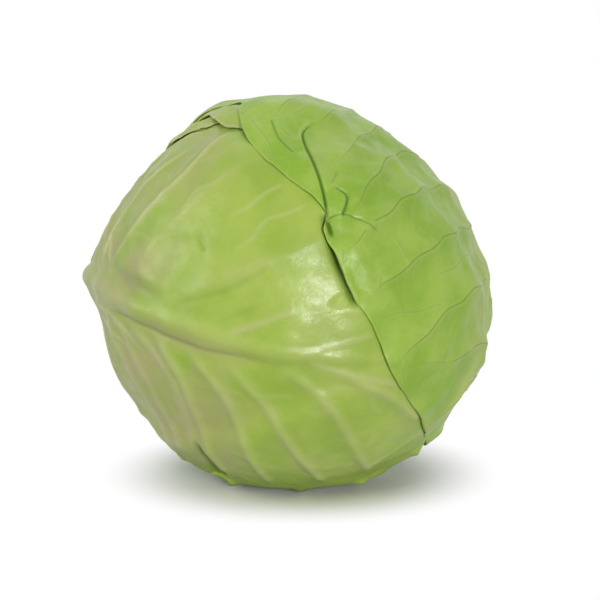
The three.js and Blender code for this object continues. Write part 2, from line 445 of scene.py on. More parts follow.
frontLeaf["ridges"] = [
    *ribRidges([frontRib], (1.9, 0.3), (4.7, 1.8), (0.6, 1.0), 16, 0.12, 0, power=3, tan=(0.2, 5),
               fadeIn=0.001),
    crease(frontCord, (0.1, 0.1), (3.4, 3.4), pale=0.35, tan=(1.0, 10), fadeIn=0.001, fadeOut=0.75),
    # The crease under the midrib: a step down, with painted shade and a tan tone along it
    crease(frontCrease, (-0.5, -0.4), (1.5, 1.3), step=(-1.3, 14, 1), dark=(0.25, 1.3), tan=(0.9, 6),
           fadeIn=0.4, fadeOut=0.6),
    # The fan, shoulder and broad side ribs carry painted shade along one side of each
    *ribRidges(frontFan, (0.5, 0.6), (1.9, 2.4), (0.2, 0.4), 6, 0.45, 0, tan=(1.0, 10), fadeIn=0.25,
               dusk=(0.12, 4, -1)),
    *ribRidges(frontShoulder, (0.8, 0.5), (0.9, 0.8), (0.8, 0.6), 7, 1.0, 0, tan=(0.6, 6), fadeIn=0.2,
               dusk=(0.12, 4, -1)),
    *ribRidges(frontFibres, (0.25, 0.15), (1.1, 1.0), (0.1, 0), 3, 0.8, 0, tan=(0.9, 6), fadeIn=0.2,
               fadeOut=0.6),
    *ribRidges(frontRibs, (0.6, 0.9), (2.2, 1.8), (0.5, 0.6), 8, 0.4, 0, tan=(0.3, 4), fadeIn=0.3,
               dusk=(0.12, 5, 1)),
    *ribRidges(frontUpperRibs, (0.35, 0.35), (2.6, 2.0), (0.4, 0.4), 9, 0.2, 0, tan=(0.2, 4), fadeIn=0.5),
    *ribRidges(frontVeins, (0.35, 0.2), (1.1, 1.0), (0.2, 0.1), 5, 0.5, 0.1, tan=(0.3, 3), fadeIn=0.25),
    *ribRidges(frontBright, (0.15, 0.1), (0.7, 0.6), (0.5, 0.2), 5, 0.6, 0, fadeIn=0.3),
    *ribRidges(twigs(frontRibs, 3), (0.14, 0.05), (1.0, 0.8), (0.12, 0), 4, 0.25, 0.1),
    *ribRidges(twigs(frontShoulder, 8), (0.16, 0.05), (0.9, 0.8), (0.12, 0), 4, 0.3, 0.1),
    # Shallow grooves of the upper side, with painted shade in them
    crease([(9, 22), (16, 5), (25, -8)], (-0.45, -0.15), (1.3, 1.2), dark=(0.22, 1.1), fadeIn=0.5,
           fadeOut=0.6),
    crease([(5, 10), (14, -7)], (-0.25, -0.1), (1.2, 1.2), dark=(0.12, 1.0), fadeIn=0.4, fadeOut=0.6),
    # the recess at the lower edge, with painted shade inside it
    crease([(-33, 17), (-46, 14), (-60, 15)], (-1.5, -4.5), (0.9, 2.8), dark=(0.9, 1.6), fadeOut=0.99,
           fadeIn=0.3),
    # A short step beside the dimple, with painted shade along it
    crease([(31, 19), (25, 14)], (-0.8, -0.6), (1.6, 1.0), step=(0.5, 3, 1), dark=(0.2, 1.0), fadeIn=0.3),
    # the gap beside the crown leaf's fold: a groove with painted shade in it
    crease([(40, -19), (26, -24), (12, -31)], (-1.6, -1.6), (1.9, 1.9), dark=(0.95, 1.9), fadeIn=0.15,
           fadeOut=0.8),
]
frontLeaf["spots"] = [
    # A glossy patch: less rough, and painted paler as a highlight
    mark((12, -23), (30, 12), power=1.5, pale=0.3, shine=0.8),
    # A dull oval dent: rougher, with the painted highlight of the patch taken off it
    mark((15, -27), (6.2, 3.2), turn=-69, height=-0.6, power=4, pale=-0.4, shine=-1.2),
    # The hollow above the cord, with painted shade and a tan tone
    mark((12, 42), (18, 4.2), turn=-97, height=-1.7, power=1.6, dark=0.28, tan=1.0),
    mark((18, 40), (18, 11), turn=-95, tan=0.8),
    mark((-20, 10), (24, 17), power=1.5, tan=0.75),
    mark((55, 30), (20, 14), tan=0.8),
    mark((33, 6), (7.5, 3.6), turn=-41, height=0.5, power=1.6),
    # The dimple, with a little painted shade
    mark((30, 20), (6, 4), turn=60, height=-0.7, dark=0.08),
    # A soft patch of painted shade
    mark((25, 25), (12, 8), dark=0.2),
    mark((-14, 36), (25, 14), turn=20, power=1.5, tan=1.0),
    mark((-36, 14), (26, 17), power=1.5, tan=0.8),
    mark((50, 48), (22, 14), tan=0.7),
    mark((62, 44), (16, 26), shine=0.8),
    mark((20, 58), (16, 10), tan=0.9),
]

stemSideLeaf = {
    "name": "stem_side_leaf",
    "middle": (-152, 38),
    "seed": 21,
    "ribHeight": 1.0,
    "ribSpan": (42, -72),
    "ribCurve": -6,
    "edge": [
        (0, 42), (15, 42), (30, 42), (45, 46), (60, 52), (80, 59), (100, 68), (120, 74), (145, 80),
        (170, 82), (-165, 80), (-140, 76), (-120, 70), (-100, 61), (-90, 56), (-80, 54), (-70, 49),
        (-60, 43), (-48, 41), (-35, 42), (-15, 42),
    ],
    "scallop": 0.3,
    "lifts": [(-86, 8, 0.15)],  # where the edge stands off: bearing, width, height
}
stemSideLeaf["ridges"] = hiddenLeaf(stemSideLeaf, pairs=6)

backLeaf = {
    "name": "back_leaf",
    "middle": (170, 8),
    "seed": 33,
    "ribHeight": 1.5,
    "ribSpan": (71, -76),
    "ribCurve": 5,
    "edge": [
        (0, 71), (10, 71), (22, 68), (35, 64), (55, 66), (75, 72), (95, 76), (120, 78), (150, 80), (180, 82),
        (-150, 84), (-130, 88), (-110, 96), (-90, 104), (-78, 106), (-70, 101), (-62, 86), (-50, 80),
        (-35, 74), (-20, 71), (-10, 71),
    ],
    "scallop": 0.3,
    "lifts": [(-70, 8, 0.25)],
}
backLeaf["ridges"] = hiddenLeaf(backLeaf)

crownLeaf = {
    "name": "crown_leaf",
    "middle": (110, 45),
    "seed": 42,
    "ribHeight": 2.0,
    "ribSpan": (109, -92),
    "ribCurve": 9,
    "edge": [
        (0, 109), (7, 108), (15, 100), (30, 86), (50, 78), (70, 76), (90, 78), (110, 84), (130, 90),
        (150, 96), (170, 96), (-170, 94), (-150, 92), (-138, 87), (-126, 84), (-115, 79), (-109, 77),
        (-106, 72), (-90, 71), (-70, 69), (-56, 64), (-47, 60), (-36, 64), (-25, 75), (-15, 92), (-7, 108),
    ],
    "scallop": 0.15,
    "lifts": [(-118, 7, 1.8), (-109, 2.5, 0.6)],
    "denser": 0.36,  # crowds the grid toward one side
}
crownRib = [(0, 109), (6, 75), (11, 35), (9, 0), (4, -30), (6, -54), (4, -80), (6, -94)]
crownVeins = kinkedLines([  # side veins, from the midrib to the edge
    [(10, 40), (-35, 26), (-58, 20)],
    [(10, 24), (-32, 12), (-54, 10)],
    [(10, 8), (-36, 0), (-58, -7)],
    [(8, -8), (-34, -10), (-66, -26)],
    [(4, -18), (-38, -25), (-72, -36)],
    [(4, -30), (-36, -42), (-65, -54)],
    [(5, -46), (-28, -60), (-48, -78)],
    [(5, -65), (-8, -70), (-20, -76)],
], 0)
crownBranches = kinkedLines([
    [(0, -38), (-42, -54)],
    [(-26, -60), (-60, -61)],
    [(-20, -76), (-38, -77)],
    [(-46, -74), (-37, -84)],
    [(3, -78), (2, -96)],
    [(-54, 18), (-30, 14)],
    [(-56, 30), (-68, 10)],
    [(-47, -4), (-43, -14)],
    [(-48, -50), (-52, -36)],
    [(-58, 18), (-59, 6)],
], 20)
crownLeaf["ridges"] = [
    *ribRidges([crownRib], (3.4, 0.5), (5.0, 1.8), (1.5, 0.8), 12, 0.9, 0.2, tan=(0.8, 8), fadeIn=0.001),
    crease([(5, -56), (1, -78), (9, -99)], (0.5, 0.7), (2.6, 2.2), pale=0.9, tan=(1.0, 8), fadeIn=0.4),
    crease([(-4, -8), (-8, -40), (-7, -74)], (0, 0), (2, 2), tan=(0.75, 15)),
    *ribRidges([[(2, -30), (3, -84)], [(8, -30), (8, -86)]], (0.3, 0.2), (0.9, 0.8), (0, 0), 6, 0.9, 0.4),
    *ribRidges(twigs(crownVeins, 5), (0.1, 0.05), (0.9, 0.8), (0.2, 0), 4, 0.25, 0.05),
    *hiddenLeaf(crownLeaf, ribs=(1,), ribLength=60),
    *ribRidges(crownBranches, (0.2, 0.1), (1.0, 0.8), (0.5, 0.3), 5, 0.3, 0.4, tan=(0.2, 4), priority=2.5,
               lineWidth=0.28, fadeIn=0.3, fadeOut=0.7),
    # The side veins, with painted shade along one side of each
    *ribRidges(crownVeins, (0.25, 0.15), (1.1, 0.8), (1.4, 0.9), 9, 0.25, 0.9, tan=(0.3, 4), priority=2.5,
               lineWidth=0.3, fadeOut=0.8, dusk=(0.2, 7, -1)),
    # the long fold, with painted shade in its groove and a pale lip
    crease([(-50, 10), (-57, 9), (-64, -5), (-70, -22)], (-0.8, -1.1), (0.46, 0.5), step=(1.4, 6, -1),
           dark=(1.0, 0.42), fadeIn=0.22, fadeOut=0.98, priority=2.5),
    crease([(-50, 12), (-57, 10), (-64, -4)], (0.2, 0.1), (0.6, 0.6), pale=0.8, fadeIn=0.2, fadeOut=0.5),
    # the two short folds beside it, with painted shade in their grooves
    crease([(-56, 22), (-61, 15), (-64, 5)], (-0.6, -0.5), (0.6, 0.6), step=(0.9, 5, -1), dark=(0.6, 0.4)),
    crease([(-64, -14), (-62, -19), (-66, -24)], (-0.8, -0.8), (0.7, 0.7), step=(0.7, 3.5, 1),
           dark=(0.95, 0.5), fadeIn=0.3, fadeOut=0.95),
    crease([(-64, -13), (-60, -10)], (-0.3, -0.3), (0.8, 0.8), step=(0.5, 3, 1), vein=0.5, priority=2.0),
    crease([(-70, -22), (-64, -25), (-57, -34)], (-0.3, -0.2), (0.7, 0.7), step=(0.5, 4, 1), vein=1.0,
           lineWidth=0.28, priority=2.5),
    # the small lobe at their foot, and the slit behind it, painted dark as shade
    crease([(-71, -21), (-73, -28)], (1.0, 0.8), (1.0, 1.0), pale=0.5, fadeIn=0.35, fadeOut=0.65),
    crease([(-70, -21), (-71, -29)], (-1.2, -1.2), (0.8, 0.8), dark=(1.0, 0.7), fadeIn=0.3, fadeOut=0.6),
]
crownLeaf["spots"] = [
    # Glossy patches: less rough, the first also painted paler as a highlight
    mark((-58, -47), (11, 7), turn=30, height=0.25, pale=0.15, shine=1.2),
    mark((-62, -30), (9, 5), turn=60, shine=0.8),
    mark((-48, 0), (26, 9), turn=75, tan=0.5),
    mark((-60, 2), (18, 5), turn=70, tan=0.5),
]

leaves = [lowerLeaf, frontLeaf, stemSideLeaf, backLeaf, crownLeaf]
for leaf in leaves:
    addAxes(leaf, aim(*leaf["middle"]), stemAim)
    addEdge(leaf)
print("leaf maps and ribs drawn")


def midrib(leaf, d):
    aside = np.radians(90 - angleFrom(d, leaf["sideways"])) * head["heartRadius"]
    taper = np.clip(1 - angleFrom(d, stemAim) / 150, 0.1, 1)
    return leaf["ribHeight"] * taper * np.exp(-((aside / 10) ** 2)) * (d @ leaf["centre"] > -0.5)


def stackHeight(d, count):
    total = np.zeros(len(d))
    for leaf in leaves[:count]:
        cover = 1 - smoothStep(pastEdge(leaf, d), 0, head["edgeEase"])
        total += cover * (head["leafGap"] + head["leafThickness"] + 0.5 * midrib(leaf, d))
    return total


def swelling(d, swells):
    total = np.zeros(len(d))
    for azimuth, elevation, reach, height in swells:
        total += height * np.exp(-((angleFrom(d, aim(azimuth, elevation)) / reach) ** 2))
    return total


# Radius of the heart: a swollen ball, low enough at the foot to leave room for the leaves on the floor
def heartHeight(d, trimmed=True):
    free = head["heartRadius"] + swelling(d, head["swells"])
    low = d[:, 2] < -0.5
    limit = head["centreHeight"] / -d[low, 2] - stackHeight(d[low], len(leaves))
    free[low] = np.minimum(free[low], limit)
    return free + trimmed * swelling(d, head["trims"])


# 1 where a leaf's relief is kept, 0 where it lies deep under another leaf
def shownShare(number, d):
    share = np.ones(len(d))
    for leaf in leaves[number + 1 :]:
        depth = -pastEdge(leaf, d) * mmPerDegree
        share *= 1 - smoothStep(depth, *head["shownDepth"])
    return share


# Relief of the leaves below, felt by the rim that lies on them
def reliefBelow(number, d, depth):
    total = np.zeros(len(d))
    rim = np.nonzero(depth < head["shownDepth"][1] + 2)[0]
    if not len(rim):
        return total
    point = d[rim]
    left = np.ones(len(rim))
    felt = np.zeros(len(rim))
    for below in range(number - 1, -1, -1):
        here = 1 - smoothStep(pastEdge(leaves[below], point) * mmPerDegree, -1.5, 0.5)
        used = np.nonzero(here * left > 0.01)[0]
        if len(used):
            height = measureRelief(leaves[below], point[used])["height"]
            felt[used] += here[used] * left[used] * height * shownShare(below, point[used])
        left *= 1 - here
    total[rim] = felt
    return total


heartLow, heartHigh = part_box("heart")
probe = bmesh.new()
bmesh.ops.create_icosphere(probe, subdivisions=6, radius=1)
probeAims = np.array([v.co.normalized() for v in probe.verts])
probe.free()
probePoints = probeAims * heartHeight(probeAims, False)[:, None]
heartSpan = probePoints.max(0) - probePoints.min(0)
frameScale = float(np.mean(np.array(heartHigh - heartLow) / heartSpan))  # metres for each millimetre
headCentre = np.array(heartLow + heartHigh) / 2 - (probePoints.max(0) + probePoints.min(0)) / 2 * frameScale
headCentre[2] = head["centreHeight"] * frameScale
print("head centre", np.round(headCentre, 5), "scale", round(frameScale, 7))


floorEase = 0.0012  # how softly a leaf comes down on the floor, in metres


# Millimetres from the head's centre to metres in the part's frame, with nothing below the floor
def placed(points):
    moved = points * frameScale + headCentre
    near = moved[:, 2] < floorEase
    moved[near, 2] = floorEase * np.exp(np.minimum(moved[near, 2] / floorEase - 1, 0))
    return moved


def setAttribute(mesh, name, values):
    kind = "FLOAT_VECTOR" if values.ndim == 2 else "FLOAT"
    layer = mesh.attributes.new(name, kind, "POINT")
    layer.data.foreach_set("vector" if values.ndim == 2 else "value", values.astype(np.float32).ravel())


def keepFields(mesh, field):
    for name, values in field.items():
        if name != "height":
            setAttribute(mesh, name, values)


def addObject(name, data):
    made = bpy.data.objects.new(name, data)
    scene.collection.objects.link(made)
    return made


# One finished piece, from a mesh and its points round the head's centre
def addPiece(name, mesh, points, material, node):
    mesh.vertices.foreach_set("co", placed(points).ravel())
    mesh.update()
    mesh.materials.append(material)
    for polygon in mesh.polygons:
        polygon.use_smooth = True
    piece = addObject(name, mesh)
    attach(piece, "root")
    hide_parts(node)
    print(name, "made with", len(mesh.polygons), "faces")


def meshFrom(bm, name):
    mesh = bpy.data.meshes.new(name)
    bm.to_mesh(mesh)
    bm.free()
    return mesh


# A closed flat wafer: a fine square grid over a coarse one, joined round the rim
def waferMesh(name, outerCount, innerCount):
    bm = bmesh.new()
    bmesh.ops.create_grid(bm, x_segments=outerCount, y_segments=outerCount, size=1)
    below = bmesh.ops.create_grid(bm, x_segments=innerCount, y_segments=innerCount, size=1)["verts"]
    for vert in below:
        vert.co.z = -1
    lowFaces = [face for face in bm.faces if face.verts[0].co.z < -0.5]
    bmesh.ops.reverse_faces(bm, faces=lowFaces)
    rim = [edge for edge in bm.edges if edge.is_boundary]
    bmesh.ops.bridge_loops(bm, edges=rim)
    return meshFrom(bm, name)


def buildLeaf(number):
    leaf = leaves[number]
    outerCount = head["fineness"]
    mesh = waferMesh(leaf["name"], outerCount, outerCount // 4)
    co = np.zeros(len(mesh.vertices) * 3)
    mesh.vertices.foreach_get("co", co)
    co = co.reshape(-1, 3)
    inner = co[:, 2] < -0.5
    co[:, 0] -= leaf.get("denser", 0) * (1 - co[:, 0] ** 2)
    x = co[:, 0] * np.sqrt(1 - co[:, 1] ** 2 / 2)
    y = co[:, 1] * np.sqrt(1 - co[:, 0] ** 2 / 2)
    share = np.clip(np.hypot(x, y), 0, 1)
    share = 0.7 * share + 0.3 * (1 - (1 - share) ** 2)
    bearing = np.degrees(np.arctan2(x, y))
    rimWave = leaf["scallop"] * edgeRipple(leaf, bearing)
    reach = share * (edgeReach(leaf, bearing) + rimWave * share**12)
    mapX, mapY = reach * np.sin(np.radians(bearing)), reach * np.cos(np.radians(bearing))
    d = onMap(leaf, mapX, mapY)
    depth = np.maximum((1 - share) * edgeReach(leaf, bearing), 0)
    depth = np.minimum(depth, np.maximum(-pastEdge(leaf, d), 0) + (1 - share) * 3) * mmPerDegree
    depth[share > 0.9999] = 0
    field = measureRelief(leaf, d)
    # Painted shade: the skin takes the Shade colour toward the underside, where it rests near the floor
    field["dark"] = np.maximum(field["dark"], 0.7 * smoothStep(-d[:, 2], *head["footShade"]))
    lowShare = 1 - 0.6 * smoothStep(-d[:, 2], *head["footFlat"])
    relief = field["height"] * shownShare(number, d) * lowShare
    rest = head["leafGap"] - head["hugGap"]
    hug = 1 - smoothStep(depth, 0, head["hugWidth"])
    base = heartHeight(d) + stackHeight(d, number + 1)
    outer = base + relief - hug * rest + np.maximum(reliefBelow(number, d, depth), -0.5)
    for at, width, height in leaf.get("lifts", []):
        away = (np.mod(bearing - at + 180, 360) - 180) / width
        outer += height * np.exp(-(away**2)) * (1 - smoothStep(depth, 0, head["liftWidth"]))
    curl = leaf["scallop"] * 0.9 * edgeRipple(leaf, bearing + 7)
    curl *= 1 - smoothStep(depth, 0, head["curlWidth"])
    outer += np.maximum(curl, -0.1)
    rounding = 1 - np.sqrt(1 - (1 - np.clip(depth / head["rimWidth"], 0, 1)) ** 2)
    thickness = head["leafThickness"] * (1 - 0.75 * rounding)
    surface = outer - 0.4 * rounding
    height = np.where(inner, outer - thickness - 0.1 * rounding - np.maximum(relief, 0) * 0.4, surface)
    patternDepth = np.full(len(reach), leaf["seed"] * 7.0)  # gives every leaf patches of its own
    setAttribute(mesh, "leafMap", np.stack([mapX, mapY, patternDepth], 1) * mmPerDegree)
    keepFields(mesh, field)
    setAttribute(mesh, "rim", depth)
    setAttribute(mesh, "stemEnd", 1 - smoothStep(angleFrom(d, stemAim), 12, 75))
    name = leaf["name"]
    addPiece(name + "_skin", mesh, d * height[:, None], leafMaterials[name], name)


# A seeded ripple round the edge, about -1 to 1
def edgeRipple(leaf, bearing):
    dice = np.random.default_rng(leaf["seed"] + 100)
    total = np.zeros(len(bearing))
    for count in (17, 29, 43, 67):
        total += np.sin(np.radians(bearing) * count + dice.uniform(0, 6.28)) * dice.uniform(0.25, 0.5)
    return total


# Sets a node's sockets: a link where the value is another socket, a constant otherwise
def feed(tree, node, values):
    for label, value in values.items():
        if hasattr(value, "links"):
            tree.links.new(value, node.inputs[label])
        else:
            node.inputs[label].default_value = value


def attribute(tree, name, output="Fac"):
    node = tree.nodes.new("ShaderNodeAttribute")
    node.attribute_name = name
    return node.outputs[output]


def calc(tree, operation, a, b=0, clamp=False):
    node = tree.nodes.new("ShaderNodeMath")
    node.operation = operation
    node.use_clamp = clamp
    feed(tree, node, {0: a, 1: b})
    return node.outputs[0]


def product(tree, first, *others):
    for other in others:
        first = calc(tree, "MULTIPLY", first, other)
    return first


def vectorMath(tree, operation, *values):
    node = tree.nodes.new("ShaderNodeVectorMath")
    node.operation = operation
    feed(tree, node, dict(enumerate(values)))
    return node


def remap(tree, value, fromLow, fromHigh, toLow=0.0, toHigh=1.0, smooth=True):
    node = tree.nodes.new("ShaderNodeMapRange")
    node.interpolation_type = "SMOOTHSTEP" if smooth else "LINEAR"
    ends = {"From Min": fromLow, "From Max": fromHigh, "To Min": toLow, "To Max": toHigh}
    feed(tree, node, {"Value": value, **ends})
    return node.outputs["Result"]


def mixColour(tree, factor, a, b):
    node = tree.nodes.new("ShaderNodeMix")
    node.data_type = "RGBA"
    feed(tree, node, {"Factor": factor, 6: a, 7: b})
    return node.outputs[2]


def noiseAt(tree, vector, scale, detail=2.0, rough=0.5, output="Fac"):
    node = tree.nodes.new("ShaderNodeTexNoise")
    feed(tree, node, {"Vector": vector, "Scale": scale, "Detail": detail, "Roughness": rough})
    return node.outputs[output]


leafFinish = {
    "broad": 0.045,  # scales of the patches, in waves for each millimetre
    "middle": 0.16,
    "fine": 1.1,
    "ripple": 0.4,
    "netScale": 0.2,
    "wobble": 0.3,
    "netWarp": (3, 3, 3),
    "netLine": 0.07,  # width of a veinlet, as a share of its cell
    "shadeAmount": 0.85,
    "shineAmount": 0.15,
    "fineHeight": 0.05,  # in millimetres
    "rippleHeight": 0.22,
    "netHeight": 0.12,
    "veinHeight": -0.1,
}


# Colour, roughness and fine height of a cabbage leaf, from the fields kept on its mesh
def leafSkinGroup():
    tree = bpy.data.node_groups.new("leafSkin", "ShaderNodeTree")

    def addSockets(way, kind, *labels):
        for label in labels:
            tree.interface.new_socket(label, in_out=way, socket_type=kind)

    addSockets("INPUT", "NodeSocketColor", "Blade", "Deep", "Rib", "Vein", "Tan", "Shade")
    amounts = [label + " amount" for label in ("Vein", "Rib", "Tan", "Net", "Rim")]
    addSockets("INPUT", "NodeSocketFloat", *amounts)
    addSockets("OUTPUT", "NodeSocketColor", "Colour")
    addSockets("OUTPUT", "NodeSocketFloat", "Roughness", "Height")
    given = tree.nodes.new("NodeGroupInput")
    result = tree.nodes.new("NodeGroupOutput")

    # One more colour laid over the rest, by a share and the amount asked for
    def laid(colour, label, share, amount=None):
        if amount:
            share = product(tree, share, given.outputs[amount])
        return mixColour(tree, share, colour, given.outputs[label])

    spot = attribute(tree, "leafMap", "Vector")
    broad = noiseAt(tree, spot, leafFinish["broad"], 3)
    middle = noiseAt(tree, spot, leafFinish["middle"], 3)
    fine = noiseAt(tree, spot, leafFinish["fine"])
    colour = laid(given.outputs["Blade"], "Deep", remap(tree, broad, 0.36, 0.64))
    colour = laid(colour, "Deep", remap(tree, middle, 0.3, 0.7, 0.0, 0.35))
    wobble = noiseAt(tree, spot, leafFinish["wobble"], output="Color")
    warped = vectorMath(tree, "MULTIPLY_ADD", wobble, leafFinish["netWarp"], spot)
    net = tree.nodes.new("ShaderNodeTexVoronoi")
    net.feature = "DISTANCE_TO_EDGE"
    feed(tree, net, {"Vector": warped.outputs["Vector"], "Scale": leafFinish["netScale"]})
    netLine = remap(tree, net.outputs["Distance"], 0.0, leafFinish["netLine"], 1.0, 0.0)
    netShare = product(tree, netLine, given.outputs["Net amount"], remap(tree, middle, 0.35, 0.6))
    colour = laid(colour, "Rib", netShare)
    tanShare = calc(tree, "MAXIMUM", attribute(tree, "tan"), attribute(tree, "stemEnd"))
    tanShare = calc(tree, "SUBTRACT", tanShare, remap(tree, broad, 0.42, 0.62, 0.0, 0.35), True)
    colour = laid(colour, "Tan", tanShare, "Tan amount")
    colour = laid(colour, "Rib", attribute(tree, "pale"), "Rib amount")
    offset = calc(tree, "ABSOLUTE", attribute(tree, "veinOffset"))
    line = calc(tree, "DIVIDE", offset, attribute(tree, "lineWidth"))
    line = calc(tree, "SUBTRACT", 1.5, line, True)
    close = remap(tree, attribute(tree, "veinNear"), 1.2, 2.0, 1.0, 0.0)
    line = product(tree, line, close, attribute(tree, "vein"))
    colour = laid(colour, "Vein", line, "Vein amount")
    colour = laid(colour, "Shade", product(tree, attribute(tree, "dark"), leafFinish["shadeAmount"]))
    rim = remap(tree, attribute(tree, "rim"), 0.3, 1.4, 1.0, 0.0)
    colour = laid(colour, "Rib", rim, "Rim amount")
    rough = remap(tree, middle, 0.32, 0.68, 0.32, 0.46)
    rough = calc(tree, "ADD", rough, remap(tree, fine, 0.35, 0.65, -0.02, 0.04))
    patchy = remap(tree, middle, 0.35, 0.55, 0.4, 1.0)
    shine = product(tree, attribute(tree, "shine"), patchy, leafFinish["shineAmount"])
    rough = calc(tree, "SUBTRACT", rough, shine)
    ripple = noiseAt(tree, spot, leafFinish["ripple"])
    raised = product(tree, fine, leafFinish["fineHeight"])
    for share, label in ((ripple, "rippleHeight"), (netShare, "netHeight"), (line, "veinHeight")):
        raised = calc(tree, "ADD", raised, product(tree, share, leafFinish[label]))
    feed(tree, result, {"Colour": colour, "Roughness": rough, "Height": raised})
    return tree


skinGroup = leafSkinGroup()


def newMaterial(name):
    material = bpy.data.materials.new(name)
    material.use_nodes = True
    tree = material.node_tree
    return material, tree, tree.nodes["Principled BSDF"]


def addBump(tree, shader, strength, height):
    bump = tree.nodes.new("ShaderNodeBump")
    feed(tree, bump, {"Strength": strength, "Distance": 0.001, "Height": height})
    tree.links.new(bump.outputs["Normal"], shader.inputs["Normal"])


def leafMaterial(name, values):
    material, tree, shader = newMaterial(name)
    skin = tree.nodes.new("ShaderNodeGroup")
    skin.node_tree = skinGroup
    for label, value in values.items():
        if label == "Gloss":
            shader.inputs["Specular IOR Level"].default_value = value
        else:
            skin.inputs[label].default_value = (*value, 1) if isinstance(value, tuple) else value
    tree.links.new(skin.outputs["Colour"], shader.inputs["Base Color"])
    tree.links.new(skin.outputs["Roughness"], shader.inputs["Roughness"])
    addBump(tree, shader, 0.6, skin.outputs["Height"])
    shader.inputs["IOR"].default_value = 1.45
    shader.inputs["Subsurface Weight"].default_value = 0.12
    shader.inputs["Subsurface Radius"].default_value = (1.0, 0.9, 0.25)
    shader.inputs["Subsurface Scale"].default_value = 0.004
    return material


plainLeaf = {  # what the leaves round the back and below share
    "Vein": (0.18, 0.30, 0.05), "Shade": (0.06, 0.14, 0.012), "Vein amount": 0.5, "Rib amount": 0.7,
    "Tan amount": 0.7, "Net amount": 0.14, "Rim amount": 0.75, "Gloss": 0.45}
leafColours = {
    "front_leaf": {
        "Blade": (0.43, 0.565, 0.092), "Deep": (0.34, 0.49, 0.056), "Tan": (0.455, 0.43, 0.175),
        "Rib": (0.61, 0.635, 0.29), "Vein": (0.33, 0.42, 0.12), "Shade": (0.08, 0.17, 0.018),
        "Vein amount": 0.3, "Rib amount": 0.7, "Tan amount": 0.9, "Net amount": 0.05, "Rim amount": 0.12,
        "Gloss": 0.5},
    "crown_leaf": {
        "Blade": (0.39, 0.58, 0.085), "Deep": (0.29, 0.485, 0.045), "Tan": (0.40, 0.46, 0.125),
        "Rib": (0.54, 0.64, 0.20), "Vein": (0.17, 0.28, 0.03), "Shade": (0.04, 0.145, 0.005),
        "Vein amount": 0.75, "Rib amount": 0.6, "Tan amount": 0.7, "Net amount": 0.16, "Rim amount": 0.12,
        "Gloss": 0.36},
    "back_leaf": {
        **plainLeaf, "Blade": (0.43, 0.56, 0.10), "Deep": (0.36, 0.51, 0.07), "Tan": (0.49, 0.52, 0.16),
        "Rib": (0.56, 0.60, 0.27)},
    "stem_side_leaf": {
        **plainLeaf, "Blade": (0.45, 0.57, 0.10), "Deep": (0.37, 0.52, 0.07), "Tan": (0.50, 0.52, 0.16),
        "Rib": (0.58, 0.61, 0.28)},
    "lower_leaf": {
        **plainLeaf, "Blade": (0.22, 0.42, 0.04), "Deep": (0.15, 0.33, 0.02), "Tan": (0.36, 0.42, 0.12),
        "Rib": (0.48, 0.56, 0.20), "Vein": (0.13, 0.25, 0.03), "Shade": (0.04, 0.12, 0.008),
        "Tan amount": 0.6, "Rim amount": 0.4, "Gloss": 0.4},
    "heart": {
        "Blade": (0.56, 0.63, 0.25), "Deep": (0.48, 0.58, 0.18), "Tan": (0.60, 0.60, 0.30),
        "Rib": (0.70, 0.70, 0.42), "Vein": (0.36, 0.46, 0.14), "Shade": (0.16, 0.26, 0.05),
        "Vein amount": 0.4, "Rib amount": 0.8, "Tan amount": 0.8, "Net amount": 0.2, "Rim amount": 0.0,
        "Gloss": 0.5},
}
leafMaterials = {name: leafMaterial(name + "_skin", values) for name, values in leafColours.items()}
print("leaf materials made")

for number in range(len(leaves)):
    buildLeaf(number)

heartBall = {
    "seed": 71,
    "waves": [(40, 0.25), (19, 0.12)],
    "ribs": 13,
    "ribReach": (14, 112),
    "ribTurn": 34,  # how far each rib winds round the heart, in degrees of bearing
}


# The tight leaves inside: a ball with ribs that wind out from the stem
def buildHeart():
    lines = []
    first, last = heartBall["ribReach"]
    for number in range(heartBall["ribs"]):
        line = []
        for share in np.linspace(0, 1, 6):
            bearing = math.radians(360 * number / heartBall["ribs"] + heartBall["ribTurn"] * share)
            reach = first + (last - first) * share
            line.append((reach * math.sin(bearing), reach * math.cos(bearing)))
        lines.append(line)
    heartBall["ridges"] = ribRidges(lines, (0.5, 0.1), (2.4, 1.0), (0, 0), 8, 0.8, 0.4, fadeIn=0.05,
                                    step=(-0.25, 8, 1))
    addAxes(heartBall, stemAim, np.array([0.0, 0.0, 1.0]))
    bm = bmesh.new()
    bmesh.ops.create_icosphere(bm, subdivisions=6, radius=1)
    mesh = meshFrom(bm, "heart")
    d = np.array([vert.co.normalized() for vert in mesh.vertices])
    field = measureRelief(heartBall, d)
    height = heartHeight(d) + np.clip(field["height"], -0.6, 0.6)
    bearing, reach = bearingAndReach(heartBall, d)
    setAttribute(mesh, "leafMap", d * head["heartRadius"])
    keepFields(mesh, field)
    setAttribute(mesh, "rim", np.full(len(d), 20.0))
    setAttribute(mesh, "stemEnd", 1 - smoothStep(reach, 12, 75))
    addPiece("heart_ball", mesh, d * height[:, None], leafMaterials["heart"], "heart")


buildHeart()

stem = {
    "clearance": 2,  # from the heart's surface to the foot
    "profile": [  # distance from the axis, height above the foot
        (0, 0), (13.2, 0), (14.0, 1.4), (13.6, 4.2), (13.4, 7.2), (12.9, 8.3), (11.9, 8.9), (10.6, 8.8),
        (8.6, 8.4), (5.4, 8.3), (2.4, 8.5), (0, 8.8),
    ],
    "steps": 96,
    "cuts": 4,  # parts each stretch of the profile is cut into
    "flutes": 9,
    "fluteDepth": 0.35,
}


